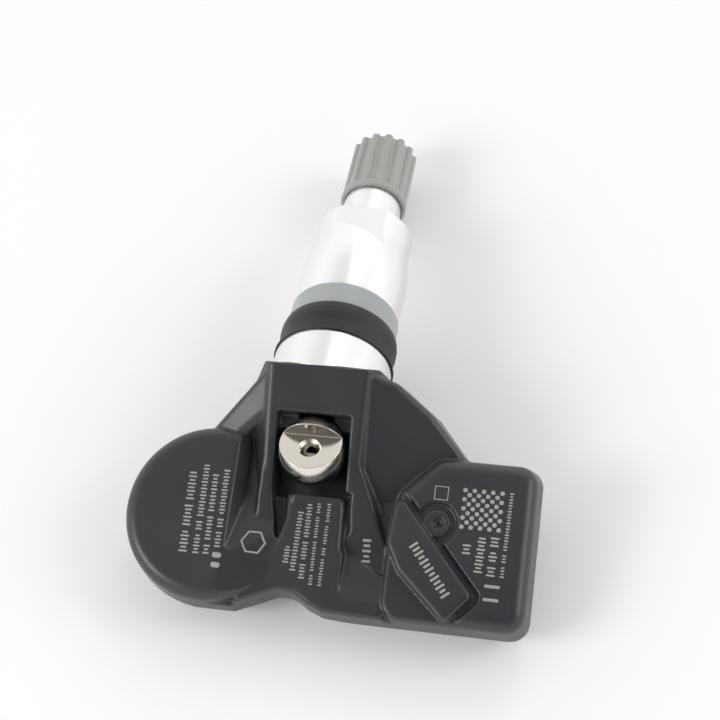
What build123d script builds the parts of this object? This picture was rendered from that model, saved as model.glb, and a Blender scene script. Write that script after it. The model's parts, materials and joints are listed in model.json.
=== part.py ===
from build123d import *
from math import cos, radians, sin
import os

os.makedirs("parts", exist_ok=True)

# Tyre pressure sensor with a clamp-in valve, lying on a table with the print side up.
# The origin is the centre of the rim seat on the valve axis. Y runs towards the cap.

# Placement: the valve points a little down at the table, the case leans up towards the valve
valve_decline = 9.0
case_pitch = 13.0
rim_seat_at = 19.5
valve_to_case = valve_decline + case_pitch

valve_dir = Vector(0, cos(radians(valve_decline)), -sin(radians(valve_decline)))
ball_centre = valve_dir * -rim_seat_at
valve_up = Vector(0, sin(radians(valve_decline)), cos(radians(valve_decline)))
case_y = Vector(0, cos(radians(case_pitch)), sin(radians(case_pitch)))
case_z = Vector(0, -sin(radians(case_pitch)), cos(radians(case_pitch)))

# Case planes have the ball centre as their origin: plan view, side view and front view
case_plan = Plane(origin=ball_centre, x_dir=(1, 0, 0), z_dir=case_z)
case_side = Plane(origin=ball_centre, x_dir=case_y, z_dir=(1, 0, 0))
case_front = Plane(origin=ball_centre, x_dir=(1, 0, 0), z_dir=case_y * -1)

# Valve planes: a half section (radius, distance from the ball) and cross sections
valve_half = Plane(origin=ball_centre, x_dir=(1, 0, 0), z_dir=valve_up)
valve_cross = Plane(origin=ball_centre, x_dir=(1, 0, 0), z_dir=valve_dir)
valve_side = Plane(origin=ball_centre, x_dir=valve_dir, z_dir=(1, 0, 0))
valve_axis = Axis(ball_centre, valve_dir)

# Case sizes, heights measured from the ball centre
parting_z = -5.3
underside_z = -9.5
valley_z = -2.6
tongue_z = -1.2
draft = 8.0
edge_round = 1.9
hollow_round = 2.0
front_round = 3.0
lobe_x = -12.9
lobe_y = -9.4
lobe_r = 12.2
block_right = 30.5
block_front = -21.4
block_rear = 1.4
ridge_left = -6.4
ridge_right = 6.9

# Arms of the saddle: height over the ball, rise towards the lobe or block and rise towards the valve
left_arm_z = 2.2
left_arm_across = 0.318
left_arm_along = 0.37
right_arm_z = 1.0
right_arm_across = -0.145
right_arm_along = 0.395

# Ball joint between case and valve
ball_r = 4.6
seat_gap = 0.05
saddle_r = 11.4
shank_r = 2.2
slot_half = 2.3
tilt_room = 9.0
pocket_half = 5.0
pocket_front = -5.8
pocket_rear = 4.6

# Valve sizes, distances measured from the ball centre along the valve axis
stem_r = 4.35
thread_r = 3.85
collar_r = 8.2
collar_top = 14.3
seal_r = 8.42
seal_neck_r = 5.6
seal_neck_top = 22.4
washer_r = 7.7
washer_top = 23.4
nut_bore_r = 4.42
nut_top = 39.7
nut_end_r = 7.1
flat_from = 34.8
flat_depth = 6.1
flat_turn = -24.0
thread_from = 46.8
stem_end = 55.6
cap_seal_t = 0.5
cap_roof_t = 1.2
cap_bottom = thread_from - 0.9
cap_top = stem_end + cap_seal_t + cap_roof_t
cap_r = 4.97
rib_count = 14
rib_r = 0.66
core_r = 2.5
core_recess = 1.0
core_length = 7.6
core_top = stem_end - core_recess
core_bottom = core_top - core_length
bore_gap = 0.04

# Inside the case
chamber_z = -3.8
roof_z = -1.5
floor_z = -8.3
board_z = -7.9
board_t = 0.8
board_top = board_z + board_t
cell_x = -14.0
cell_y = -10.4
cell_r = 8.0
cell_t = 2.5
tab_t = 0.2
port_x = 17.5
port_y = -7.9
coil_x = 21.0
coil_y = block_front + 4.6

# Plan shapes used more than once
lobe_front = lobe_y - lobe_r
front_hollows = [(-2.7, block_front + 2.4), (-0.4, block_front + 2.2)]
front_edge = [(-8.6, lobe_front), (-5.1, block_front + 1.3), *front_hollows, (1.5, block_front + 1.0),
              (3.6, block_front + 0.2), (8.0, block_front)]
chamber_front = block_front + 1.9
block_chamber = [(13.2, chamber_front + 0.6), (13.8, chamber_front), (27.2, chamber_front),
                 (28.5, chamber_front + 1.3), (28.5, -2.1), (27.2, -0.8), (18.2, -0.8), (13.2, -6.4)]
left_arm_edge = [(-7.2, 11.6), (-15.2, 2.2)]
right_arm_edge = [(21.3, 0.6), (16.0, 6.8), (11.2, 10.5), (7.8, 11.6)]
saddle_plan = [(12.0, -6.0), *right_arm_edge, *left_arm_edge, (-12.0, -6.0)]

# Outline of the case at the parting line
with BuildSketch(case_plan.offset(parting_z)) as outline:
    with Locations((lobe_x, lobe_y)):
        Circle(lobe_r)
    with Locations(((8 + block_right) / 2, (block_front + block_rear) / 2)):
        RectangleRounded(block_right - 8, block_rear - block_front, 3.0)
    Polygon(*front_edge, (12, block_front), (12, -3), (lobe_x, -3), (lobe_x, lobe_front), align=None)
    Polygon(*saddle_plan, align=None)
    right_hollow = vertices().sort_by_distance((20.6, block_rear))[0]
    left_hollow = vertices().sort_by_distance((-14.8, 2.65))[0]
    fillet([right_hollow, left_hollow], hollow_round)
    fillet([vertices().sort_by_distance(p)[0] for p in front_hollows], front_round)

# Space for the works, the same in the shell and in the base
with BuildSketch(case_plan.offset(parting_z)) as chamber:
    with Locations((cell_x, cell_y)):
        Circle(cell_r + 0.9)
    Polygon((-12, chamber_front + 1.3), (14, chamber_front + 1.3), (14, -8.4), (-12, -8.4), align=None)
    Polygon(*block_chamber, align=None)

# Low body that the raised forms stand on
with BuildPart() as low_form:
    with BuildSketch(case_plan.offset(parting_z)):
        add(outline.sketch_local)
    extrude(amount=valley_z - parting_z, taper=draft)

# Scoop between the lobe and the pocket: a slanting wall on the lobe's side, its floor rises to the front
with BuildPart() as scoop_form:
    with BuildSketch(case_front):
        Polygon((-10.3, 0.4), (-8.6, valley_z), (4, valley_z), (4, 2), (-10.3, 2), align=None)
    extrude(amount=40, both=True)
    with BuildSketch(case_side):
        Polygon((8, valley_z), (8, 2), (-14.0, 2), (-14.0, -0.4), (-6.5, valley_z), align=None)
    extrude(amount=40, both=True, mode=Mode.INTERSECT)

# Round lobe over the coin cell, its top falling gently to the tongue on the inner side
with BuildPart() as lobe_form:
    with BuildSketch(case_plan.offset(parting_z)):
        with Locations((lobe_x, lobe_y)):
            Circle(lobe_r)
    extrude(amount=-parting_z, taper=draft)
    lobe_top = lobe_form.faces().sort_by(Axis(ball_centre, case_z))[-1]
    fillet(lobe_top.edges(), edge_round)
    fall = Plane(origin=ball_centre + Vector(-10.5, 0, 0), z_dir=Vector(0.185, 0, 0) + case_z)
    split(bisect_by=fall, keep=Keep.BOTTOM)
    add(scoop_form.part, mode=Mode.SUBTRACT)

# Block over the electronics, cut back for the valley
with BuildPart() as block_form:
    with BuildSketch(case_plan.offset(parting_z)):
        Polygon((10.8, -11.0), (10.8, block_front), (block_right, block_front), (block_right, block_rear),
                (16.6, block_rear), (11.6, -4.0), align=None)
    extrude(amount=-parting_z, taper=draft)
    upright = block_form.edges().filter_by(lambda e: abs(e.tangent_at(0).dot(case_z)) > 0.9)
    fillet(upright, 2.6)
    block_top = block_form.faces().sort_by(Axis(ball_centre, case_z))[-1]
    fillet(block_top.edges(), edge_round)
    # the top is lower in front of the bar
    with BuildSketch(case_plan.offset(-0.6)):
        Polygon((9, -12), (9, block_front - 1), (22.2, block_front - 1), (13.8, -14.6), (12.2, -12.6),
                align=None)
    extrude(amount=2, mode=Mode.SUBTRACT)

# Tongue in front of the pocket, widening into the front bar, with a ramp at its right end
with BuildPart() as tongue_form:
    with BuildSketch(case_plan.offset(parting_z)):
        Polygon((-3.4, -4.5), (-3.2, -9.0), (-4.1, -12.4), (-6.0, -14.8), (-8.0, -17.2),
                *front_edge, (12.4, block_front), (12.4, -15.4), (5.8, -12.2), (5.4, -4.5), align=None)
        fillet([vertices().sort_by_distance(p)[0] for p in front_hollows], front_round)
    extrude(amount=tongue_z - parting_z, taper=draft)
    tongue_top = tongue_form.faces().sort_by(Axis(ball_centre, case_z))[-1]
    fillet(tongue_top.edges(), 0.7)
    with BuildSketch(case_side.offset(5.7)):
        Polygon((block_front + 2.6, tongue_z), (-11.5, -3.0), (-11.5, 1), (block_front + 2.6, 1), align=None)
    extrude(amount=5.7, mode=Mode.SUBTRACT)

# Saddle: a roof that falls from the ridge behind the pocket to the tongue in front of it
with BuildPart() as saddle_form:
    with BuildSketch(case_front.offset(-11.6)):
        Polygon((ridge_left - 7.6, parting_z), (ridge_left, 4.9), (ridge_right, 4.9),
                (ridge_right + 7.6, parting_z), align=None)
    with BuildSketch(case_front.offset(6.4)):
        Polygon((-8.0, parting_z), (-6.3, -1.2), (6.3, -1.2), (8.0, parting_z), align=None)
    loft(ruled=True)
    with BuildSketch(case_plan.offset(parting_z)):
        Polygon((-13.9, 2.2), (-12.0, -6.0), (12.0, -6.0), (19.8, 1.0), (18.0, 3.2), (14.9, 6.3), (12.0, 8.5),
                (9.8, 10.1), (7.4, 11.6), (-7.0, 11.6), align=None)
    extrude(amount=14, mode=Mode.INTERSECT)
    roof_edges = saddle_form.edges().filter_by(lambda e: e.center().sub(ball_centre).dot(case_z) > 0.6)
    fillet(roof_edges, 0.7)

# Arms: slanting faces that run from the saddle out to the lobe and to the block
with BuildPart() as left_arm:
    with BuildSketch(case_plan.offset(parting_z)):
        Polygon((-3.6, 11.6), *left_arm_edge, (-13.5, -1.8), (-3.6, 4.75), align=None)
    extrude(amount=11, taper=draft)
    left_up = Vector(-left_arm_across, 0, 0) + case_y * -left_arm_along + case_z
    split(bisect_by=Plane(origin=ball_centre + case_z * left_arm_z, z_dir=left_up), keep=Keep.BOTTOM)
    left_face = left_arm.faces().sort_by(Axis(ball_centre, left_up))[-1]
    fillet(left_face.edges().sort_by_distance(case_plan.from_local_coords((-10.5, 7, 2)))[0], 0.9)
    left_brow = left_arm.edges().sort_by_distance(case_plan.from_local_coords((-8.5, 2.5, 0.5)))[0]
    fillet(left_brow, 1.6)

with BuildPart() as right_arm:
    with BuildSketch(case_plan.offset(parting_z)):
        Polygon((3.6, -6.5), (12.4, -9.0), *right_arm_edge, (3.6, 11.6), align=None)
    extrude(amount=11, taper=draft)
    right_up = Vector(-right_arm_across, 0, 0) + case_y * -right_arm_along + case_z
    split(bisect_by=Plane(origin=ball_centre + case_z * right_arm_z, z_dir=right_up), keep=Keep.BOTTOM)
    right_face = right_arm.faces().sort_by(Axis(ball_centre, right_up))[-1]
    right_spots = [(18, 3.4, 0), (13, 8, 2.5), (9.3, 10.2, 4)]
    fillet([right_face.edges().sort_by_distance(case_plan.from_local_coords(p))[0] for p in right_spots], 0.9)

# Nose: the sides of the pocket run on past it and sink into the valleys
with BuildPart() as nose_form:
    with BuildSketch(case_front.offset(1.0)):
        Polygon((-8.2, parting_z), (-6.4, 0.45), (6.4, 0.45), (8.6, parting_z), align=None)
    with BuildSketch(case_front.offset(13.6)):
        Polygon((-8.0, parting_z), (-7.0, -2.9), (12.0, -2.9), (12.9, parting_z), align=None)
    loft(ruled=True)

# Raised slanting bar on the block
with BuildPart() as bar_form:
    with BuildSketch(case_plan.offset(-3)):
        Polygon((11.5, -11.2), (13.3, -14.6), (19.9, block_front + 0.8), (23.2, -16.9), (12.2, -4.4),
                align=None)
        fillet(vertices(), 0.8)
    extrude(amount=3.8)
    bar_top = bar_form.faces().sort_by(Axis(ball_centre, case_z))[-1]
    fillet(bar_top.edges(), 0.5)

# Slot for the shank of the ball bolt, open far enough for the valve to tilt
slot_up = Vector(cos(radians(valve_to_case - tilt_room)), -sin(radians(valve_to_case - tilt_room)))
slot_down = Vector(cos(radians(valve_to_case + tilt_room)), -sin(radians(valve_to_case + tilt_room)))
slot_up_off = Vector(-slot_up.Y, slot_up.X) * slot_half
slot_down_off = Vector(slot_down.Y, -slot_down.X) * slot_half
with BuildPart() as slot_form:
    with BuildSketch(case_side):
        Polygon(slot_up * 1 + slot_up_off, slot_up * 15 + slot_up_off, slot_down * 15 + slot_down_off,
                slot_down * 1 + slot_down_off, align=None)
    extrude(amount=slot_half, both=True)

# What lies outside the round rear face that the valve collar slides on
with BuildPart() as rear_form:
    with BuildSketch(case_side):
        Polygon((3.5, -14), (20, -14), (20, 12), (3.5, 12), align=None)
        Circle(saddle_r, mode=Mode.SUBTRACT)
    extrude(amount=14, both=True)

with BuildPart() as case_shell:
    add(low_form.part)
    add(lobe_form.part)
    add(block_form.part)
    add(saddle_form.part)
    add(left_arm.part)
    add(right_arm.part)
    add(nose_form.part)
    # grooves that set the tongue off from the sides of the pocket
    with BuildSketch(case_plan.offset(-3.2)):
        Polygon((-4.9, -5.0), (-4.75, -7.0), (-3.95, -11.0), (-3.3, -12.6), (-2.0, -11.0), (-2.0, -5.0),
                align=None)
    extrude(amount=4, mode=Mode.SUBTRACT)
    with BuildSketch(case_plan.offset(-2.3)):
        Polygon((4.5, -5.0), (4.5, -10.0), (5.4, -11.4), (6.0, -10.0), (5.8, -5.0), align=None)
    extrude(amount=4, mode=Mode.SUBTRACT)
    add(tongue_form.part)
    # narrow trench beside the bar and the round recess of the pressure port
    with BuildSketch(case_plan.offset(-0.6)):
        Polygon((12.4, -4.2), (12.9, -3.9), (23.9, -16.4), (23.9, -17.4), (20.9, -20.9), (20.3, -22.0),
                (19.6, -20.2), (21.5, -17.9), align=None)
        with Locations((port_x, port_y)):
            Circle(2.75)
            Circle(1.8, mode=Mode.SUBTRACT)
    extrude(amount=2, mode=Mode.SUBTRACT)
    add(bar_form.part)
    with BuildSketch(case_plan.offset(-0.5)):
        with Locations((port_x + 0.25, port_y)):
            Circle(0.7)
    extrude(amount=2, mode=Mode.SUBTRACT)
    # space for the works
    with BuildSketch(case_plan.offset(parting_z)):
        add(chamber.sketch_local)
    extrude(amount=chamber_z - parting_z, mode=Mode.SUBTRACT)
    with BuildSketch(case_plan.offset(parting_z)):
        Polygon(*block_chamber, align=None)
    extrude(amount=roof_z - parting_z, mode=Mode.SUBTRACT)
    with BuildSketch(case_plan.offset(parting_z)):
        with Locations((cell_x, cell_y)):
            Circle(cell_r + 0.4)
        with Locations((-11.4, cell_y)):
            Rectangle(20, 30, align=(Align.MIN, Align.CENTER), mode=Mode.SUBTRACT)
    extrude(amount=roof_z - parting_z, mode=Mode.SUBTRACT)
    # boss that leads the port down to the gasket, then the hole itself
    with BuildSketch(case_plan.offset(-4.2)):
        with Locations((port_x, port_y)):
            Circle(2.4)
    extrude(amount=roof_z + 4.2 + 0.2)
    with BuildSketch(case_plan.offset(-4.2)):
        with Locations((port_x + 0.25, port_y)):
            Circle(0.24)
    extrude(amount=6, mode=Mode.SUBTRACT)
    # open pocket for the ball, with a seat block behind it
    with BuildSketch(case_side):
        Polygon((pocket_front, 12), (pocket_front, -7), (0, -7), (2.93, 0.3), (pocket_rear, 0.3),
                (pocket_rear, 12), align=None)
    extrude(amount=pocket_half, both=True, mode=Mode.SUBTRACT)
    with Locations(ball_centre):
        Sphere(ball_r + seat_gap, mode=Mode.SUBTRACT)
    add(slot_form.part, mode=Mode.SUBTRACT)
    add(rear_form.part, mode=Mode.SUBTRACT)
case_shell.part.label = "case_shell"
export_step(case_shell.part, "parts/case_shell.step")

with BuildPart() as base_plate:
    with BuildSketch(case_plan.offset(parting_z)):
        add(outline.sketch_local)
    extrude(amount=underside_z - parting_z, taper=14)
    with BuildSketch(case_plan.offset(floor_z)):
        add(chamber.sketch_local)
    extrude(amount=parting_z - floor_z, mode=Mode.SUBTRACT)
    with BuildSketch(case_plan.offset(floor_z)):
        with Locations((-18.5, -13.5), (-9.5, -15.5), (26.3, -3.2), (26.3, chamber_front + 2.1),
                       (15.6, chamber_front + 2.3)):
            Circle(1.1)
    extrude(amount=board_z - floor_z)
    add(slot_form.part, mode=Mode.SUBTRACT)
    add(rear_form.part, mode=Mode.SUBTRACT)
base_plate.part.label = "base_plate"
export_step(base_plate.part, "parts/base_plate.step")

with BuildPart() as circuit_board:
    with BuildSketch(case_plan.offset(board_z)):
        add(chamber.sketch_local)
        offset(amount=-0.4, mode=Mode.REPLACE)
    extrude(amount=board_t)
circuit_board.part.label = "circuit_board"
export_step(circuit_board.part, "parts/circuit_board.step")

with BuildPart() as cell_tab_negative:
    with BuildSketch(case_plan.offset(board_top)):
        Polygon((-17, -11.4), (-4.6, -11.4), (-4.6, -9.4), (-17, -9.4), align=None)
    extrude(amount=tab_t)
cell_tab_negative.part.label = "cell_tab_negative"
export_step(cell_tab_negative.part, "parts/cell_tab_negative.step")

cell_z = board_top + tab_t
cell_top = cell_z + cell_t
tab_leg_x = cell_x + cell_r + 0.5

with BuildPart() as coin_cell:
    with BuildSketch(case_plan.offset(cell_z)):
        with Locations((cell_x, cell_y)):
            Circle(cell_r - 0.7)
    extrude(amount=0.5)
    with BuildSketch(case_plan.offset(cell_z + 0.5)):
        with Locations((cell_x, cell_y)):
            Circle(cell_r)
    extrude(amount=cell_t - 0.5)
    can_top = coin_cell.faces().sort_by(Axis(ball_centre, case_z))[-1]
    fillet(can_top.edges(), 0.4)
coin_cell.part.label = "coin_cell"
export_step(coin_cell.part, "parts/coin_cell.step")

with BuildPart() as cell_tab_positive:
    with BuildSketch(case_front.offset(12)):
        Polygon((cell_x - 2, cell_top), (tab_leg_x, cell_top), (tab_leg_x, board_top),
                (tab_leg_x + tab_t, board_top), (tab_leg_x + tab_t, cell_top + tab_t),
                (cell_x - 2, cell_top + tab_t), align=None)
    extrude(amount=2)
cell_tab_positive.part.label = "cell_tab_positive"
export_step(cell_tab_positive.part, "parts/cell_tab_positive.step")

with BuildPart() as sensor_chip:
    with BuildSketch(case_plan.offset(board_top)):
        with Locations((port_x, port_y)):
            Rectangle(5, 5)
    extrude(amount=1.9)
    with BuildSketch(case_plan.offset(board_top + 1.2)):
        with Locations((port_x + 0.25, port_y)):
            Circle(0.5)
    extrude(amount=2, mode=Mode.SUBTRACT)
sensor_chip.part.label = "sensor_chip"
export_step(sensor_chip.part, "parts/sensor_chip.step")

with BuildPart() as port_gasket:
    with BuildSketch(case_plan.offset(board_top + 1.9)):
        with Locations((port_x, port_y)):
            Circle(2.2)
            Circle(1.0, mode=Mode.SUBTRACT)
    extrude(amount=1.0)
port_gasket.part.label = "port_gasket"
export_step(port_gasket.part, "parts/port_gasket.step")

with BuildPart() as controller_chip:
    with BuildSketch(case_plan.offset(board_top)):
        with Locations((23.6, -6.0)):
            Rectangle(5, 5)
    extrude(amount=1.2)
controller_chip.part.label = "controller_chip"
export_step(controller_chip.part, "parts/controller_chip.step")

with BuildPart() as quartz_crystal:
    with BuildSketch(case_plan.offset(board_top)):
        with Locations((16.2, coil_y + 2.9)):
            RectangleRounded(3.2, 2.5, 0.4)
    extrude(amount=0.9)
quartz_crystal.part.label = "quartz_crystal"
export_step(quartz_crystal.part, "parts/quartz_crystal.step")

with BuildPart() as capacitor_large:
    with BuildSketch(case_plan.offset(board_top)):
        with Locations((21.8, coil_y + 4.6)):
            Rectangle(3.2, 1.6)
    extrude(amount=1.4)
capacitor_large.part.label = "capacitor_large"
export_step(capacitor_large.part, "parts/capacitor_large.step")

with BuildPart() as capacitor_small:
    with BuildSketch(case_plan.offset(board_top)):
        with Locations((24.8, coil_y + 4.6)):
            Rectangle(1.6, 0.8)
    extrude(amount=0.8)
capacitor_small.part.label = "capacitor_small"
export_step(capacitor_small.part, "parts/capacitor_small.step")

coil_z = board_top + 0.4
with BuildPart() as coil_core:
    with BuildSketch(case_plan.offset(board_top)):
        with Locations((coil_x - 3.6, coil_y), (coil_x + 3.6, coil_y)):
            Rectangle(1.2, 2.6)
    extrude(amount=2.6)
    with BuildSketch(case_plan.offset(coil_z + 0.3)):
        with Locations((coil_x, coil_y)):
            Rectangle(7, 1.2)
    extrude(amount=1.2)
coil_core.part.label = "coil_core"
export_step(coil_core.part, "parts/coil_core.step")

with BuildPart() as coil_winding:
    with BuildSketch(case_side.offset(coil_x - 2.9)):
        with Locations((coil_y, coil_z + 0.9)):
            RectangleRounded(2.2, 1.8, 0.4)
            Rectangle(1.2, 1.2, mode=Mode.SUBTRACT)
    extrude(amount=5.8)
coil_winding.part.label = "coil_winding"
export_step(coil_winding.part, "parts/coil_winding.step")

antenna_w = 0.6
antenna_z = board_top + 4.7
antenna_front = chamber_front + 3.3
antenna_rear = -4.4
with BuildPart() as antenna_loop:
    with BuildSketch(case_side.offset(27.2)):
        Polygon((antenna_front, board_top), (antenna_front, antenna_z), (antenna_rear, antenna_z),
                (antenna_rear, board_top), (antenna_rear - antenna_w, board_top),
                (antenna_rear - antenna_w, antenna_z - antenna_w),
                (antenna_front + antenna_w, antenna_z - antenna_w), (antenna_front + antenna_w, board_top),
                align=None)
    extrude(amount=antenna_w)
antenna_loop.part.label = "antenna_loop"
export_step(antenna_loop.part, "parts/antenna_loop.step")

# Ball bolt: ball head with a milled flat, a cross hole and a bore for the air
flat_z = 1.95
flat_plane = Plane(origin=ball_centre + valve_dir * -0.9 + valve_up * flat_z, x_dir=(1, 0, 0), z_dir=valve_up)
with BuildPart() as ball_bolt:
    with Locations(ball_centre):
        Sphere(ball_r)
    with BuildSketch(valve_cross.offset(2)):
        Circle(shank_r)
    extrude(amount=16)
    with BuildSketch(valve_side):
        Polygon((-6, flat_z), (1.1, flat_z), (1.1, 6), (-6, 6), align=None)
    extrude(amount=6, both=True, mode=Mode.SUBTRACT)
    with BuildSketch(flat_plane):
        Circle(1.05)
    extrude(amount=-3.45, mode=Mode.SUBTRACT)
    with BuildSketch(flat_plane):
        Circle(1.45)
    extrude(amount=-0.5, taper=40, mode=Mode.SUBTRACT)
    with BuildSketch(valve_cross.offset(-1.4)):
        Circle(0.8)
    extrude(amount=20, mode=Mode.SUBTRACT)
ball_bolt.part.label = "ball_bolt"
export_step(ball_bolt.part, "parts/ball_bolt.step")

with BuildPart() as valve_stem:
    with BuildSketch(valve_half):
        Polygon((shank_r, 6), (collar_r, 6), (collar_r, collar_top), (stem_r, collar_top),
                (stem_r, thread_from - 0.4), (thread_r, thread_from), (thread_r, stem_end - 0.4),
                (thread_r - 0.4, stem_end), (core_r + bore_gap, stem_end),
                (core_r + bore_gap, core_bottom - 3), (1.4, core_bottom - 3), (1.4, 18), (shank_r, 18),
                align=None)
    revolve(axis=valve_axis)
    with BuildSketch(case_side):
        Circle(saddle_r + seat_gap)
    extrude(amount=12, both=True, mode=Mode.SUBTRACT)
valve_stem.part.label = "valve_stem"
export_step(valve_stem.part, "parts/valve_stem.step")

with BuildPart() as seal_grommet:
    with BuildSketch(valve_half):
        Polygon((stem_r, collar_top), (seal_r, collar_top), (seal_r, 14.6), (8.05, 15.1), (8.1, 16.5),
                (8.25, 17.6), (8.25, 18.6), (8.05, rim_seat_at), (seal_neck_r, rim_seat_at),
                (seal_neck_r, seal_neck_top), (stem_r, seal_neck_top), align=None)
    revolve(axis=valve_axis)
seal_grommet.part.label = "seal_grommet"
export_step(seal_grommet.part, "parts/seal_grommet.step")

with BuildPart() as thrust_washer:
    with BuildSketch(valve_half):
        Polygon((seal_neck_r + 0.1, rim_seat_at), (washer_r - 0.1, rim_seat_at),
                (washer_r, rim_seat_at + 0.5), (washer_r, washer_top - 0.3), (washer_r - 0.15, washer_top),
                (nut_bore_r, washer_top), (nut_bore_r, seal_neck_top + 0.1),
                (seal_neck_r + 0.1, seal_neck_top + 0.1), align=None)
    revolve(axis=valve_axis)
thrust_washer.part.label = "thrust_washer"
export_step(thrust_washer.part, "parts/thrust_washer.step")

with BuildPart() as collar_nut:
    with BuildSketch(valve_half):
        with BuildLine():
            Polyline((nut_end_r, flat_from + 1), (nut_end_r, nut_top - 0.3), (nut_end_r - 0.3, nut_top),
                     (nut_bore_r, nut_top), (nut_bore_r, washer_top), (7.45, washer_top), (7.5, 24.0))
            Spline((7.5, 24.0), (7.7, 28.0), (7.65, 31.0), (7.3, flat_from - 1), (nut_end_r, flat_from + 1))
        make_face()
    revolve(axis=valve_axis)
    with BuildSketch(valve_cross.offset(flat_from).rotated((0, 0, flat_turn))):
        with Locations((0, flat_depth + 5), (0, -flat_depth - 5)):
            Rectangle(20, 10)
    extrude(amount=12, mode=Mode.SUBTRACT)
collar_nut.part.label = "collar_nut"
export_step(collar_nut.part, "parts/collar_nut.step")

with BuildPart() as core_barrel:
    with BuildSketch(valve_half):
        Polygon((0.7, core_bottom), (2.1, core_bottom), (2.1, core_bottom + 1.0), (core_r, core_bottom + 1.0),
                (core_r, core_top), (1.5, core_top), (1.5, core_bottom + 1.2), (0.7, core_bottom + 1.2),
                align=None)
    revolve(axis=valve_axis)
core_barrel.part.label = "core_barrel"
export_step(core_barrel.part, "parts/core_barrel.step")

with BuildPart() as core_gasket:
    with BuildSketch(valve_half):
        Polygon((2.1, core_bottom + 0.1), (core_r + 0.02, core_bottom + 0.1),
                (core_r + 0.02, core_bottom + 1.0), (2.1, core_bottom + 1.0), align=None)
    revolve(axis=valve_axis)
core_gasket.part.label = "core_gasket"
export_step(core_gasket.part, "parts/core_gasket.step")

with BuildPart() as core_pin:
    with BuildSketch(valve_half):
        Polygon((0, core_bottom - 1.6), (1.2, core_bottom - 1.6), (1.2, core_bottom - 0.9),
                (0.5, core_bottom - 0.9), (0.5, core_top - 1.6), (1.35, core_top - 1.6),
                (1.35, core_top - 1.0), (0.5, core_top - 1.0), (0.5, core_top + 0.6), (0, core_top + 0.6),
                align=None)
    revolve(axis=valve_axis)
core_pin.part.label = "core_pin"
export_step(core_pin.part, "parts/core_pin.step")

with BuildPart() as core_seat:
    with BuildSketch(valve_half):
        Polygon((0.5, core_bottom - 0.9), (1.5, core_bottom - 0.9), (1.5, core_bottom), (0.5, core_bottom),
                align=None)
    revolve(axis=valve_axis)
core_seat.part.label = "core_seat"
export_step(core_seat.part, "parts/core_seat.step")

with BuildPart() as core_spring:
    with BuildLine():
        spring_foot = ball_centre + valve_dir * (core_top - 4.4)
        spring_path = Helix(pitch=0.66, height=2.64, radius=1.05, center=spring_foot, direction=valve_dir)
    with BuildSketch(Plane(origin=spring_path @ 0, z_dir=spring_path % 0)):
        Circle(0.15)
    sweep(path=spring_path, is_frenet=True)
core_spring.part.label = "core_spring"
export_step(core_spring.part, "parts/core_spring.step")

with BuildPart() as cap_seal:
    with BuildSketch(valve_half):
        Polygon((1.0, stem_end), (3.8, stem_end), (3.8, stem_end + cap_seal_t), (1.0, stem_end + cap_seal_t),
                align=None)
    revolve(axis=valve_axis)
cap_seal.part.label = "cap_seal"
export_step(cap_seal.part, "parts/cap_seal.step")

with BuildPart() as valve_cap:
    with BuildSketch(valve_half):
        Polygon((0, cap_bottom), (cap_r - 0.15, cap_bottom), (cap_r, cap_bottom + 0.2),
                (cap_r, cap_bottom + 1.1), (4.55, cap_bottom + 1.6), (4.5, cap_top - 0.5), (4.1, cap_top),
                (0, cap_top), align=None)
    revolve(axis=valve_axis)
    with BuildSketch(valve_cross.offset(cap_bottom + 1.0)):
        with PolarLocations(cap_r - rib_r, rib_count):
            Circle(rib_r)
    extrude(amount=cap_top - cap_bottom - 1.3)
    with BuildSketch(valve_half):
        Polygon((0, cap_bottom - 1), (stem_r + 0.07, cap_bottom - 1), (stem_r + 0.07, cap_bottom + 1.1),
                (thread_r + 0.07, cap_bottom + 1.1), (thread_r + 0.07, stem_end + cap_seal_t),
                (0, stem_end + cap_seal_t), align=None)
    revolve(axis=valve_axis, mode=Mode.SUBTRACT)
valve_cap.part.label = "valve_cap"
export_step(valve_cap.part, "parts/valve_cap.step")
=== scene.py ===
# %% [markdown]
# Tyre pressure sensor with a clamp-in valve.
# The solids come from the packed CAD model and stay where they are. This lesson gives them their
# finishes, adds the fine pieces that are too small for the solids, and sets up a white table with
# soft light. Blender works in metres; the helpers below take millimetres.

# %% Load the solids
import json
from math import cos, pi, radians, sin

import bmesh
import bpy
from mathutils import Matrix, Vector
from mathutils.bvhtree import BVHTree


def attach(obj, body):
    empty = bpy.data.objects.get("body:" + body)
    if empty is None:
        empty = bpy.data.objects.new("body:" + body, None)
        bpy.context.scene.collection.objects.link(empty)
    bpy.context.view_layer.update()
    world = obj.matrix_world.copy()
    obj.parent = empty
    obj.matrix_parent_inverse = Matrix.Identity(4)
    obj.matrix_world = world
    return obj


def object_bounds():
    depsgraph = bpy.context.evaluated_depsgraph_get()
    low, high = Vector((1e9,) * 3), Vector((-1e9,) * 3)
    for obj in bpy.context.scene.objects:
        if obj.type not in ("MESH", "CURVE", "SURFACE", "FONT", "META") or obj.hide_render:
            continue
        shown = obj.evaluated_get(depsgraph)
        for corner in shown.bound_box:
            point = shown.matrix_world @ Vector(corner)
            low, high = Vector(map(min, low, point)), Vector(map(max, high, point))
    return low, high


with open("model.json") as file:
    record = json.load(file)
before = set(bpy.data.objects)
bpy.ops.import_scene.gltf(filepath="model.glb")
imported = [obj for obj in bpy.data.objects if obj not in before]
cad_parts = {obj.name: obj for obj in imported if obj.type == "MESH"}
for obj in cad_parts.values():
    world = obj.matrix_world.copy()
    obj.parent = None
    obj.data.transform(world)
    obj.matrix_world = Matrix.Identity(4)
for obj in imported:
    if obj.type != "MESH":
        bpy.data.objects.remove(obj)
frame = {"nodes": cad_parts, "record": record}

cad_low, cad_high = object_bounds()
nodes = frame["nodes"]
scene = bpy.context.scene
print("solids", len(nodes), "box", [round(v * 1000, 2) for v in (cad_high - cad_low)])

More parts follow.
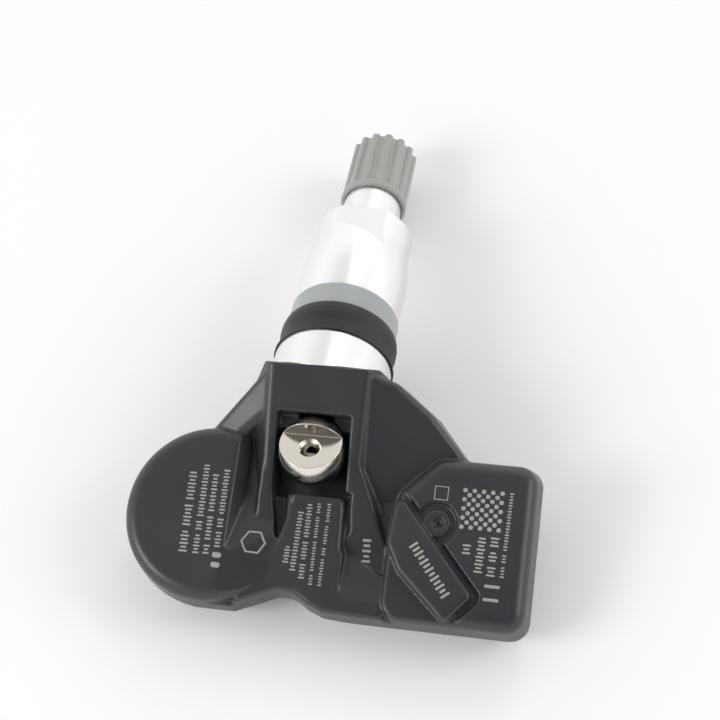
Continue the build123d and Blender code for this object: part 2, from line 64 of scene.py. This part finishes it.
# %% [markdown]
# Two frames of reference are handy. The case leans up by 13 degrees towards the valve, and the valve
# dips by 9 degrees towards the table. Both turn about the centre of the ball head, so a point of the
# case or of the valve is easiest to give from there, in millimetres.

# %% Case frame and valve frame
MM = 0.001
CASE_PITCH = radians(13)
VALVE_DECLINE = radians(9)
CASE_Y = Vector((0, cos(CASE_PITCH), sin(CASE_PITCH)))
CASE_Z = Vector((0, -sin(CASE_PITCH), cos(CASE_PITCH)))
VALVE_DIR = Vector((0, cos(VALVE_DECLINE), -sin(VALVE_DECLINE)))
VALVE_UP = Vector((0, sin(VALVE_DECLINE), cos(VALVE_DECLINE)))
BALL = VALVE_DIR * (-19.5 * MM)


def case_point(x, y, z):
    """A point of the case, in millimetres from the ball centre."""
    return BALL + Vector((x * MM, 0, 0)) + CASE_Y * (y * MM) + CASE_Z * (z * MM)


def valve_point(x, up, along):
    """A point of the valve, in millimetres from the ball centre, along its axis."""
    return BALL + Vector((x * MM, 0, 0)) + VALVE_UP * (up * MM) + VALVE_DIR * (along * MM)


print("ball centre", [round(v * 1000, 2) for v in BALL])

# %% [markdown]
# The camera looks down at the case from the front, a little from the right. Its place was worked out
# from the round edges of the washer, seal and cap in the photograph and from the outline of the case.
# A lens of about 72 mm on a 36 mm sensor gives the same mild perspective. A Track To constraint would
# aim it too, but a matrix from three directions also fixes how far the picture leans.

# %% Camera
CAMERA_PLACE = (0.0407, -0.1011, 0.1723)
view_forward = Vector((-0.185, 0.4855, -0.8537)).normalized()
view_up = Vector((-0.081, 0.858, 0.506))
view_right = view_forward.cross(view_up).normalized()
view_up = view_right.cross(view_forward)
camera_data = bpy.data.cameras.new("camera")
camera_data.lens = 72.36
camera_data.sensor_width = 36
camera_data.clip_start = 0.01
camera = bpy.data.objects.new("camera", camera_data)
camera_turn = Matrix((view_right, view_up, -view_forward)).transposed()
camera.matrix_world = Matrix.Translation(CAMERA_PLACE) @ camera_turn.to_4x4()
scene.collection.objects.link(camera)
scene.camera = camera
print("camera height", round(camera.location.z, 4))

# %% [markdown]
# Materials and the sky are networks of nodes. Three small helpers keep their code short: one gives an
# input its value or its link, and two make the nodes that turn up most, Math and Map Range.

# %% Node helpers


def feed(tree, value, socket):
    """Links an input to the output that gives its value, or sets it to a plain value."""
    if isinstance(value, bpy.types.NodeSocket):
        tree.links.new(value, socket)
    else:
        socket.default_value = value


def maths(tree, operation, first, second):
    """A Math node; each value is a number or the output that gives it."""
    node = tree.nodes.new("ShaderNodeMath")
    node.operation = operation
    feed(tree, first, node.inputs[0])
    feed(tree, second, node.inputs[1])
    return node.outputs[0]


def spread(tree, value, low, high, to_low=0.0, to_high=1.0, shape="LINEAR"):
    """A Map Range node that clamps."""
    node = tree.nodes.new("ShaderNodeMapRange")
    node.interpolation_type = shape
    labels = ("Value", "From Min", "From Max", "To Min", "To Max")
    for label, number in zip(labels, (value, low, high, to_low, to_high)):
        feed(tree, number, node.inputs[label])
    return node.outputs["Result"]


print("node helpers", [helper.__name__ for helper in (feed, maths, spread)])

# %% [markdown]
# The part lies on a white table under soft light. The table is one large sheet just under the lowest
# point. It is pale by its own colour, and a little glow that only the camera and the reflections see
# brings it close to white, so it needs no more light and keeps the shadow of the part.

# %% Table
TABLE_HALF = 1.5
TABLE_GLOW = 0.07
scene.view_settings.view_transform = "Standard"
table_mesh = bpy.data.meshes.new("table")
table_edit = bmesh.new()
bmesh.ops.create_grid(table_edit, x_segments=8, y_segments=8, size=TABLE_HALF)
bmesh.ops.translate(table_edit, verts=table_edit.verts, vec=(0, 0, cad_low.z))
table_edit.to_mesh(table_mesh)
table_edit.free()
table = bpy.data.objects.new("table", table_mesh)
scene.collection.objects.link(table)

table_finish = bpy.data.materials.new("table_white")
table_finish.use_nodes = True
table_tree = table_finish.node_tree
table_shader = table_tree.nodes["Principled BSDF"]
table_shader.inputs["Base Color"].default_value = (0.96, 0.96, 0.96, 1)
table_shader.inputs["Roughness"].default_value = 0.9
table_shader.inputs["Specular IOR Level"].default_value = 0.1
table_shader.inputs["Emission Color"].default_value = (1, 1, 1, 1)
table_path = table_tree.nodes.new("ShaderNodeLightPath")
table_seen = maths(table_tree, "ADD", table_path.outputs["Is Camera Ray"], table_path.outputs["Is Glossy Ray"])
table_glow = maths(table_tree, "MULTIPLY", table_seen, TABLE_GLOW)
table_tree.links.new(table_glow, table_shader.inputs["Emission Strength"])
table_mesh.materials.append(table_finish)
print("table at mm", round(cad_low.z * 1000, 2))

# %% [markdown]
# Bright metal shows the room round it, so the sky is part of the finish. It is pale near the horizon
# and dimmer overhead, with a dark patch above the front and a faint pale patch above the back. The
# ball head needs both: its flat looks to the back of the room and its shoulder to the front. A picture
# of a real room would serve as well, but these few nodes need no file. The directions are fixed in the
# room, so the part can be seen from any side.

# %% Sky
sky = bpy.data.worlds.new("sky")
sky.use_nodes = True
scene.world = sky
sky_tree = sky.node_tree
sky_place = sky_tree.nodes.new("ShaderNodeTexCoord")


def sky_share(direction, low, high, at_low, at_high):
    """A value that changes with the angle from a direction of the room."""
    facing = sky_tree.nodes.new("ShaderNodeVectorMath")
    facing.operation = "DOT_PRODUCT"
    facing.inputs[1].default_value = Vector(direction).normalized()
    sky_tree.links.new(sky_place.outputs["Generated"], facing.inputs[0])
    return spread(sky_tree, facing.outputs["Value"], low, high, at_low, at_high, "SMOOTHSTEP")


sky_dome = sky_share((0, 0, 1), low=0.4, high=0.93, at_low=1.12, at_high=0.56)
sky_front = sky_share((0.18, -0.5, 0.85), low=0.72, high=0.95, at_low=1.0, at_high=0.12)
sky_back = sky_share((0.05, 0.72, 0.68), low=0.8, high=0.97, at_low=0.0, at_high=0.05)
sky_level = maths(sky_tree, "ADD", maths(sky_tree, "MULTIPLY", sky_dome, sky_front), sky_back)
sky_tree.links.new(sky_level, sky_tree.nodes["Background"].inputs["Color"])
print("sky nodes", len(sky_tree.nodes))

# %% [markdown]
# Three soft lamps give the edges of the dark case their pale lines. A weak one stands behind the
# valve, and one on each side brings out the slopes. None shines straight from the camera's side, since
# a lamp there would flatten the case.

# %% Lamps


def soft_lamp(name, place, width, height, power):
    """An area lamp at a place, turned towards the part."""
    lamp_data = bpy.data.lights.new(name, "AREA")
    lamp_data.shape = "RECTANGLE"
    lamp_data.size = width
    lamp_data.size_y = height
    lamp_data.energy = power
    lamp = bpy.data.objects.new(name, lamp_data)
    lamp.location = place
    lamp.rotation_euler = (-Vector(place)).to_track_quat("-Z", "Y").to_euler()
    scene.collection.objects.link(lamp)


soft_lamp("lamp_back", (0.16, 0.6, 0.5), width=0.22, height=0.3, power=0.3)
soft_lamp("lamp_right", (0.6, 0.1, 0.38), width=0.3, height=0.3, power=1.0)
soft_lamp("lamp_left", (-0.55, -0.33, 0.45), width=0.3, height=0.3, power=1.9)

# %% [markdown]
# Several finishes share the same effects, so each effect is a node group: a small network that is
# built once and placed in each material with its own values. Two helpers make a group with named
# inputs and outputs and set up a node in one line, and a third mixes two colours.

# %% Group helpers
COLOR, FLOAT, VECTOR = "NodeSocketColor", "NodeSocketFloat", "NodeSocketVector"


def new_group(name, inputs, outputs):
    """A shader node group with named float, colour or vector sockets."""
    group = bpy.data.node_groups.new(name, "ShaderNodeTree")
    for label, kind, value in inputs:
        socket = group.interface.new_socket(label, in_out="INPUT", socket_type=kind)
        socket.default_value = value
    for label, kind in outputs:
        group.interface.new_socket(label, in_out="OUTPUT", socket_type=kind)
    return group, group.nodes.new("NodeGroupInput"), group.nodes.new("NodeGroupOutput")


def put(tree, kind, **values):
    """A new node with its own settings; an input is named by its label."""
    node = tree.nodes.new(kind)
    for label, value in values.items():
        if hasattr(node, label):
            setattr(node, label, value)
        else:
            node.inputs[label.replace("_", " ")].default_value = value
    return node


def tint(tree, share, first, second):
    """A Mix node for colours, by a share from 0 to 1."""
    node = tree.nodes.new("ShaderNodeMix")
    node.data_type = "RGBA"
    first_colour, second_colour = [s for s in node.inputs if s.type == "RGBA"]
    feed(tree, share, node.inputs["Factor"])
    feed(tree, first, first_colour)
    feed(tree, second, second_colour)
    return [s for s in node.outputs if s.type == "RGBA"][0]


print("group helpers", [helper.__name__ for helper in (new_group, put, tint)])

# %% [markdown]
# The first effect is the fine grain of a moulded surface. Two layers of noise give a slow change of
# colour and a fine bump. They use object coordinates, so the grain has a real size and stays fixed to
# the part, with no need for UV maps.

# %% Moulded grain
grain, g_in, g_out = new_group(
    "moulded_grain",
    [("Light", COLOR, (0.1, 0.1, 0.1, 1)), ("Dark", COLOR, (0.05, 0.05, 0.05, 1)), ("Size", FLOAT, 4000),
     ("Rough Low", FLOAT, 0.4), ("Rough High", FLOAT, 0.6)],
    [("Color", COLOR), ("Roughness", FLOAT), ("Height", FLOAT)],
)
g_place = grain.nodes.new("ShaderNodeTexCoord")
g_fine = put(grain, "ShaderNodeTexNoise", Detail=3.0, Roughness=0.6)
g_slow = put(grain, "ShaderNodeTexNoise", Scale=90.0, Detail=4.0, Roughness=0.55)
grain.links.new(g_place.outputs["Object"], g_fine.inputs["Vector"])
grain.links.new(g_place.outputs["Object"], g_slow.inputs["Vector"])
grain.links.new(g_in.outputs["Size"], g_fine.inputs["Scale"])
g_share = maths(grain, "ADD", maths(grain, "MULTIPLY", g_fine.outputs["Fac"], 0.45),
                maths(grain, "MULTIPLY", g_slow.outputs["Fac"], 0.55))
g_share = spread(grain, g_share, 0.35, 0.65)
g_color = tint(grain, g_share, g_in.outputs["Dark"], g_in.outputs["Light"])
g_rough = spread(grain, g_slow.outputs["Fac"], 0.35, 0.65, g_in.outputs["Rough Low"],
                 g_in.outputs["Rough High"])
grain.links.new(g_color, g_out.inputs["Color"])
grain.links.new(g_rough, g_out.inputs["Roughness"])
grain.links.new(g_fine.outputs["Fac"], g_out.inputs["Height"])
print("group", grain.name, [s.name for s in grain.interface.items_tree])

# %% [markdown]
# The second effect finds edges. The Bevel node gives the normal that a small rounding would have, and where
# that differs from the real normal there is an edge. The group gives that mask, which the moulded finishes use
# for a painted highlight along their edges, and the rounded normal itself, so that sharp solids catch the
# light as real edges do. A Bevel modifier would round them too, but at the cost of many faces.

# %% Soft edges
edges, e_in, e_out = new_group(
    "soft_edges", [("Radius", FLOAT, 0.0003), ("Gain", FLOAT, 4.0)], [("Mask", FLOAT), ("Normal", VECTOR)]
)
e_bevel = edges.nodes.new("ShaderNodeBevel")
e_bevel.samples = 6
e_true = edges.nodes.new("ShaderNodeNewGeometry")
edges.links.new(e_in.outputs["Radius"], e_bevel.inputs["Radius"])
e_dot = edges.nodes.new("ShaderNodeVectorMath")
e_dot.operation = "DOT_PRODUCT"
edges.links.new(e_bevel.outputs["Normal"], e_dot.inputs[0])
edges.links.new(e_true.outputs["Normal"], e_dot.inputs[1])
e_gap = maths(edges, "MULTIPLY", maths(edges, "SUBTRACT", 1.0, e_dot.outputs["Value"]), e_in.outputs["Gain"])
edges.links.new(spread(edges, e_gap, 0.0, 1.0), e_out.inputs["Mask"])
edges.links.new(e_bevel.outputs["Normal"], e_out.inputs["Normal"])
print("group", edges.name, [s.name for s in edges.interface.items_tree])

# %% [markdown]
# The third effect is the fine lines that a lathe leaves round the valve. The distance along the valve
# axis drives a one-dimensional noise, so every ring has its own height and brightness.

# %% Lathe rings
rings, r_in, r_out = new_group(
    "lathe_rings", [("Lines", FLOAT, 9000.0)], [("Shade", FLOAT), ("Height", FLOAT)]
)
r_place = rings.nodes.new("ShaderNodeTexCoord")
r_along = rings.nodes.new("ShaderNodeVectorMath")
r_along.operation = "DOT_PRODUCT"
r_along.inputs[1].default_value = VALVE_DIR
rings.links.new(r_place.outputs["Object"], r_along.inputs[0])
r_noise = put(rings, "ShaderNodeTexNoise", noise_dimensions="1D", Detail=2.0)
rings.links.new(r_along.outputs["Value"], r_noise.inputs["W"])
rings.links.new(r_in.outputs["Lines"], r_noise.inputs["Scale"])
r_cloud = put(rings, "ShaderNodeTexNoise", Scale=220.0, Detail=3.0)
rings.links.new(r_place.outputs["Object"], r_cloud.inputs["Vector"])
r_mixed = maths(rings, "ADD", maths(rings, "MULTIPLY", r_noise.outputs["Fac"], 0.6),
                maths(rings, "MULTIPLY", r_cloud.outputs["Fac"], 0.4))
rings.links.new(r_mixed, r_out.inputs["Shade"])
rings.links.new(r_noise.outputs["Fac"], r_out.inputs["Height"])
print("group", rings.name, [s.name for s in rings.interface.items_tree])

# %% [markdown]
# With the groups in place, each family of finishes needs one short recipe. Plastics, rubber and ceramics are
# the moulded recipe: grain for colour and roughness, and a painted highlight that makes the edges a little
# lighter.

# %% Moulded recipe


def place_group(tree, group, **values):
    """An instance of a node group with its own values."""
    node = tree.nodes.new("ShaderNodeGroup")
    node.node_tree = group
    for label, value in values.items():
        node.inputs[label.replace("_", " ")].default_value = value
    return node


def moulded(name, light, dark, rough, size=4000.0, bump=0.08, edge=0.0003, edge_highlight_share=0.25, specular=0.5):
    """A moulded plastic, rubber or ceramic finish."""
    finish = bpy.data.materials.new(name)
    finish.use_nodes = True
    tree = finish.node_tree
    shader = tree.nodes["Principled BSDF"]
    shader.inputs["Specular IOR Level"].default_value = specular
    look = place_group(tree, grain, Light=(*light, 1), Dark=(*dark, 1), Size=size, Rough_Low=rough[0],
                       Rough_High=rough[1])
    rim = place_group(tree, edges, Radius=edge)
    # The edge mask mixes the colour towards a paler tone: a painted highlight along the edges.
    share = maths(tree, "MULTIPLY", rim.outputs["Mask"], edge_highlight_share)
    edge_highlight_colour = tuple(min(1.0, v * 2.2 + 0.02) for v in light)
    tree.links.new(tint(tree, share, look.outputs["Color"], (*edge_highlight_colour, 1)), shader.inputs["Base Color"])
    tree.links.new(look.outputs["Roughness"], shader.inputs["Roughness"])
    rise = put(tree, "ShaderNodeBump", Strength=bump, Distance=0.00005)
    tree.links.new(look.outputs["Height"], rise.inputs["Height"])
    tree.links.new(rim.outputs["Normal"], rise.inputs["Normal"])
    tree.links.new(rise.outputs["Normal"], shader.inputs["Normal"])
    return finish


print("recipe", moulded.__doc__)

# %% [markdown]
# The case and its base are a satin charcoal plastic, the seal is darker and duller, and the washer and
# the cap are two greys. The pieces inside have their own finishes too, so that the part also looks
# right when it is opened.

# %% Moulded finishes
finishes = {
    "case_plastic": moulded("charcoal_case", (0.04, 0.04, 0.046), (0.033, 0.033, 0.039), (0.3, 0.37),
                            size=5200.0, bump=0.15, edge_highlight_share=0.15),
    "base_plastic": moulded("charcoal_base", (0.032, 0.032, 0.036), (0.026, 0.026, 0.03), (0.34, 0.42),
                            size=4200.0, bump=0.15, edge_highlight_share=0.2),
    "chip_black": moulded("chip_epoxy", (0.035, 0.035, 0.036), (0.025, 0.025, 0.026), (0.5, 0.65),
                          size=6000.0),
    "ceramic_tan": moulded("capacitor_ceramic", (0.58, 0.45, 0.3), (0.5, 0.37, 0.24), (0.5, 0.6)),
    "ferrite": moulded("ferrite_grey", (0.09, 0.085, 0.08), (0.06, 0.057, 0.053), (0.6, 0.75), size=3000.0,
                       bump=0.2),
    "black_rubber": moulded("seal_rubber", (0.014, 0.014, 0.015), (0.01, 0.01, 0.011), (0.45, 0.56),
                            size=2600.0, bump=0.12, edge=0.0004, edge_highlight_share=0.1),
    "grey_ring": moulded("washer_grey", (0.4, 0.42, 0.43), (0.35, 0.37, 0.38), (0.3, 0.4), size=3000.0,
                         bump=0.06, edge=0.0002),
    "cap_grey": moulded("cap_plastic", (0.4, 0.4, 0.38), (0.34, 0.34, 0.325), (0.35, 0.48), size=3600.0,
                        bump=0.1, edge=0.0002, edge_highlight_share=0.2),
}
print("moulded", sorted(finishes))

# %% [markdown]
# Metals take their look from reflections, so their colour is nearly plain and the detail is in the
# roughness: turned rings, a slow change of gloss, and edges that catch the light.

# %% Metal finishes


def metal(name, light, dark, rough, lines=9000.0, bump=0.05, edge=0.00015):
    """A turned or plated metal finish."""
    finish = bpy.data.materials.new(name)
    finish.use_nodes = True
    tree = finish.node_tree
    shader = tree.nodes["Principled BSDF"]
    shader.inputs["Metallic"].default_value = 1.0
    turned = place_group(tree, rings, Lines=lines)
    rim = place_group(tree, edges, Radius=edge)
    share = spread(tree, turned.outputs["Shade"], 0.2, 0.8)
    tree.links.new(tint(tree, share, (*dark, 1), (*light, 1)), shader.inputs["Base Color"])
    gloss = spread(tree, turned.outputs["Shade"], 0.2, 0.8, rough[1], rough[0])
    tree.links.new(gloss, shader.inputs["Roughness"])
    rise = put(tree, "ShaderNodeBump", Strength=bump, Distance=0.00001)
    tree.links.new(turned.outputs["Height"], rise.inputs["Height"])
    tree.links.new(rim.outputs["Normal"], rise.inputs["Normal"])
    tree.links.new(rise.outputs["Normal"], shader.inputs["Normal"])
    return finish


finishes.update({
    "nut_metal": metal("nut_bright", (0.9, 0.9, 0.89), (0.87, 0.87, 0.86), (0.28, 0.33), 6000.0, 0.008),
    "valve_metal": metal("stem_bright", (0.88, 0.88, 0.87), (0.84, 0.84, 0.83), (0.26, 0.31), 6000.0, 0.008),
    "nickel": metal("ball_nickel", (0.82, 0.775, 0.71), (0.77, 0.72, 0.65), (0.16, 0.22), 5000.0, 0.01),
    "steel": metal("steel_plain", (0.66, 0.66, 0.64), (0.56, 0.56, 0.55), (0.25, 0.38)),
    "copper": metal("copper_wire", (0.74, 0.4, 0.22), (0.62, 0.31, 0.16), (0.25, 0.4)),
    "brass": metal("brass_turned", (0.74, 0.58, 0.32), (0.64, 0.48, 0.25), (0.22, 0.34)),
})
print("finishes so far", sorted(m.name for m in bpy.data.materials))

# %% [markdown]
# The circuit board is hidden in the case, but it is a real piece, so it has its own finish: green
# solder resist with paler tracks. A brick pattern with thin joints stands in for the tracks.

# %% Board finish
board_finish = bpy.data.materials.new("board_green")
board_finish.use_nodes = True
board_tree = board_finish.node_tree
board_shader = board_tree.nodes["Principled BSDF"]
board_place = board_tree.nodes.new("ShaderNodeTexCoord")
board_tracks = put(board_tree, "ShaderNodeTexBrick", Scale=600.0, Mortar_Size=0.05,
                   Color1=(0.02, 0.16, 0.06, 1), Color2=(0.025, 0.19, 0.07, 1), Mortar=(0.06, 0.3, 0.12, 1))
board_tree.links.new(board_place.outputs["Object"], board_tracks.inputs["Vector"])
board_tree.links.new(board_tracks.outputs["Color"], board_shader.inputs["Base Color"])
board_look = place_group(board_tree, grain, Rough_Low=0.3, Rough_High=0.45)
board_tree.links.new(board_look.outputs["Roughness"], board_shader.inputs["Roughness"])
board_rise = put(board_tree, "ShaderNodeBump", Strength=0.2, Distance=0.00003)
board_tree.links.new(board_tracks.outputs["Fac"], board_rise.inputs["Height"])
board_tree.links.new(board_rise.outputs["Normal"], board_shader.inputs["Normal"])
finishes["board"] = board_finish
print("board nodes", len(board_tree.nodes))

# %% [markdown]
# The packed record says which finish each solid has, so one loop gives every solid its material.

# %% Dress the solids
for subpart in frame["record"]["subparts"]:
    solid_mesh = nodes[subpart["node"]].data
    solid_mesh.materials.clear()
    solid_mesh.materials.append(finishes[subpart["material_slot"]])

# %% [markdown]
# The case is one moulding with soft edges everywhere. The solids have the large roundings, and the
# small ones come from modifiers, which leave the solid itself as it is: Weld joins the faces, Remesh
# makes an even skin, Smooth melts the remaining sharp edges, as a worn mould does, and Decimate drops
# the points that a flat face doesn't need.

# %% Soft case


def soften(node, voxel, turns, kept):
    """Modifiers that round every small edge of a solid."""
    solid = nodes[node]
    weld = solid.modifiers.new("weld", "WELD")
    weld.merge_threshold = 1e-6
    skin = solid.modifiers.new("skin", "REMESH")
    skin.mode = "VOXEL"
    skin.voxel_size = voxel
    skin.use_smooth_shade = True
    melt = solid.modifiers.new("melt", "SMOOTH")
    melt.factor = 0.5
    melt.iterations = turns
    thin = solid.modifiers.new("thin", "DECIMATE")
    thin.ratio = kept
    made = solid.evaluated_get(bpy.context.evaluated_depsgraph_get()).data
    print(node, "triangles", sum(len(p.vertices) - 2 for p in made.polygons))


soften("case_shell", voxel=0.17 * MM, turns=5, kept=0.3)
soften("base_plate", voxel=0.25 * MM, turns=3, kept=0.4)

# %% [markdown]
# The stem has a fine thread under the cap, which shows when the cap is lifted. A Boolean could cut it,
# but a ridge that winds round the stem is lighter and stays clean: a flat triangle is carried along a
# right-handed helix, step by step, and both ends are closed.

# %% Stem thread
RIDGE_FOOT, RIDGE_CREST, RIDGE_HALF = 3.8, 3.885, 0.3
RIDGE_LEAD, RIDGE_FROM = 0.79, 47.2
RIDGE_TURNS, RIDGE_STEPS = 10, 40
ridge_corners = ((RIDGE_FOOT, -RIDGE_HALF), (RIDGE_CREST, 0.0), (RIDGE_FOOT, RIDGE_HALF))
ridge = bmesh.new()
ridge_loops = []
for step in range(RIDGE_TURNS * RIDGE_STEPS + 1):
    angle = 2 * pi * step / RIDGE_STEPS
    along = RIDGE_FROM + RIDGE_LEAD * step / RIDGE_STEPS
    ridge_loops.append([ridge.verts.new(valve_point(cos(angle) * reach, -sin(angle) * reach, along + shift))
                        for reach, shift in ridge_corners])
for here, there in zip(ridge_loops, ridge_loops[1:]):
    for k in range(3):
        ridge.faces.new((here[k], there[k], there[k - 2], here[k - 2]))
ridge.faces.new(ridge_loops[0])
ridge.faces.new(ridge_loops[-1])
bmesh.ops.recalc_face_normals(ridge, faces=ridge.faces)
ridge_mesh = bpy.data.meshes.new("stem_thread")
ridge.to_mesh(ridge_mesh)
ridge.free()
ridge_mesh.materials.append(finishes["valve_metal"])
stem_thread = bpy.data.objects.new("stem_thread", ridge_mesh)
scene.collection.objects.link(stem_thread)
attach(stem_thread, "valve")
print("thread faces", len(ridge_mesh.polygons))

# %% [markdown]
# The case has light grey marks, each a sliver 0.06 mm thick that is half sunk in the plastic. An image
# could paint them, but slivers stay sharp and need no file. A ray from above finds the skin of the
# softened case under every corner of a mark, so that the marks also follow the slopes.

# %% Slivers on the case
MARK_RISE = 0.03 * MM
ABOVE_CASE = 12
case_skin = BVHTree.FromObject(nodes["case_shell"], bpy.context.evaluated_depsgraph_get())


def on_case(x, y):
    """The place on the skin of the case above a point of its plan, in millimetres."""
    return case_skin.ray_cast(case_point(x, y, ABOVE_CASE), -CASE_Z)[0]


def stamp(edit, outline):
    """A closed sliver with this plan outline, given anticlockwise."""
    seats = [on_case(x, y) for x, y in outline]
    tops = [edit.verts.new(seat + CASE_Z * MARK_RISE) for seat in seats]
    feet = [edit.verts.new(seat - CASE_Z * MARK_RISE) for seat in seats]
    edit.faces.new(tops)
    edit.faces.new(feet[::-1])
    for k in range(len(seats)):
        following = (k + 1) % len(seats)
        edit.faces.new((feet[k], feet[following], tops[following], tops[k]))


def finish_marks(name, edit, finish):
    """The marks of one face as a piece that moves with the case."""
    mesh = bpy.data.meshes.new(name)
    edit.to_mesh(mesh)
    edit.free()
    mesh.materials.append(finish)
    piece = bpy.data.objects.new(name, mesh)
    scene.collection.objects.link(piece)
    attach(piece, "case")
    print(name, "faces", len(mesh.polygons))


print("case skin at the tongue", [round(v * 1000, 2) for v in on_case(0, -12)])

# %% [markdown]
# The marks are made of two shapes only: a dash with cut corners, also in rows, and a ring with
# straight sides. The sides of a ring are cut in short steps, because a long one would sink where the
# surface is curved.

# %% Mark shapes
RING_STEPS = 5
mark_finish = moulded("mark_grey", (0.4, 0.4, 0.385), (0.3, 0.3, 0.29), (0.5, 0.6), size=6000.0, bump=0.1,
                      edge=0.00005, edge_highlight_share=0.1)


def dash(edit, middle, along, length, width):
    """A dash with cut corners."""
    along = Vector(along)
    side = Vector((-along.y, along.x))
    cut = 0.25 * min(length, width)
    a, b = length / 2, width / 2
    corners = ((cut - a, -b), (a - cut, -b), (a, cut - b), (a, b - cut), (a - cut, b), (cut - a, b),
               (-a, b - cut), (-a, cut - b))
    stamp(edit, [Vector(middle) + along * u + side * v for u, v in corners])


def dash_row(edit, start, end, height, cells):
    """A row of dashes; a digit gives the width in tenths of the height, and a space is a gap."""
    run = Vector(end) - Vector(start)
    pitch = run.length / len(cells)
    along = run.normalized()
    for k, cell in enumerate(cells):
        if cell != " ":
            middle = Vector(start) + along * (pitch * (k + 0.5))
            dash(edit, middle, along, pitch * 0.5, height * int(cell) / 10)


def ring_mark(edit, middle, outer, inner, sides, start=0.0):
    """A closed ring with straight sides, such as a hexagon."""
    angles = [start + 2 * pi * k / sides for k in range(sides)]
    corners = [Vector((cos(angle), sin(angle))) for angle in angles]
    for k in range(sides):
        first, second = corners[k], corners[(k + 1) % sides]
        for step in range(RING_STEPS):
            here = first.lerp(second, step / RING_STEPS)
            there = first.lerp(second, (step + 1) / RING_STEPS)
            spots = (here * outer, there * outer, there * inner, here * inner)
            stamp(edit, [Vector(middle) + spot for spot in spots])


print("mark finish", mark_finish.name)

# %% [markdown]
# The rows of the left side run from the front to the back. The lobe has four of them and two dots, the
# slope beside it a hexagon, and the tongue five finer rows.

# %% Marks of the left side
lobe_marks = bmesh.new()
dash_row(lobe_marks, (-15.39, -15.26), (-15.70, -4.26), 1.3, "969796 979679 96979697")
dash_row(lobe_marks, (-13.65, -15.30), (-13.97, -3.14), 1.0, "969796 979 9697969796979697")
dash_row(lobe_marks, (-12.25, -15.23), (-12.57, -4.34), 0.95, "969 9796979 96979697969")
dash_row(lobe_marks, (-10.86, -14.17), (-11.11, -3.57), 0.95, "97969 979 69796979697969")
for dot_y in (-15.1, -16.4):
    dash(lobe_marks, (-10.75, dot_y), (0, 1), length=0.7, width=1.2)
ring_mark(lobe_marks, (-6.35, -12.75), outer=1.72, inner=1.45, sides=6)
finish_marks("marks_lobe", lobe_marks, mark_finish)

tongue_marks = bmesh.new()
dash_row(tongue_marks, (-1.74, -15.03), (-1.70, -12.67), 0.9, "969796")
dash_row(tongue_marks, (-0.67, -15.97), (-0.62, -7.95), 0.9, "9697969796979697969")
dash_row(tongue_marks, (0.62, -16.88), (0.46, -6.83), 0.9, "96979 697969 79697969697")
dash_row(tongue_marks, (1.95, -17.56), (1.68, -6.63), 0.6, "9697 96979697969 96979697 9697")
dash_row(tongue_marks, (3.17, -17.57), (3.06, -6.56), 0.6, "9697969796 979 6979697 9697969")
finish_marks("marks_tongue", tongue_marks, mark_finish)

# %% [markdown]
# On the right side, the valley has one short row and the slanting bar one large row. The block has a
# chequered square, a small frame beside the port, three short rows, a long fine row and two bars.

# %% Marks of the right side
CHEQUERS, TILE_PITCH, TILE = 9, 0.6, 0.56
valley_marks = bmesh.new()
dash_row(valley_marks, (8.60, -13.77), (8.48, -10.42), 1.3, "96979")
finish_marks("marks_valley", valley_marks, mark_finish)

bar_marks = bmesh.new()
dash_row(bar_marks, (20.01, -17.38), (14.87, -10.95), 1.45, "9697969796979")
finish_marks("marks_bar", bar_marks, mark_finish)

block_marks = bmesh.new()
for row in range(CHEQUERS):
    for column in range(CHEQUERS):
        if (row + column) % 2 == 0:
            tile_middle = (20.8 + TILE_PITCH * column, -8.05 + TILE_PITCH * row)
            dash(block_marks, tile_middle, (1, 0), length=TILE, width=TILE)
ring_mark(block_marks, (17.75, -3.95), outer=1.3, inner=1.14, sides=4, start=pi / 4)
dash_row(block_marks, (21.76, -11.64), (21.75, -10.15), 1.2, "969")
dash_row(block_marks, (23.48, -13.86), (23.65, -9.08), 1.25, "9697969697")
dash_row(block_marks, (25.13, -14.15), (25.27, -8.91), 1.25, "969 796 979")
dash_row(block_marks, (26.59, -14.14), (26.82, -2.98), 0.6, "9697 969 79697969796979697969")
for bar_y in (-15.3, -17.0):
    dash(block_marks, (25.5, bar_y), (1, 0), length=2.0, width=0.4)
finish_marks("marks_block", block_marks, mark_finish)

# %% [markdown]
# The pressure port ends in a fine hole in its dimple. Remesh closes so small a hole, so a dark disc of painted
# shade, in the black of the seal, stands where its mouth is.

# %% Painted shade in the mouth of the port
MOUTH_R, MOUTH_SIDES = 0.3, 16
port_hole_shade = bmesh.new()
mouth_angles = [2 * pi * k / MOUTH_SIDES for k in range(MOUTH_SIDES)]
stamp(port_hole_shade, [(17.75 + cos(angle) * MOUTH_R, -7.9 + sin(angle) * MOUTH_R) for angle in mouth_angles])
# The black finish of the seal serves here as the painted shade of the hole.
finish_marks("port_hole_shade", port_hole_shade, finishes["black_rubber"])
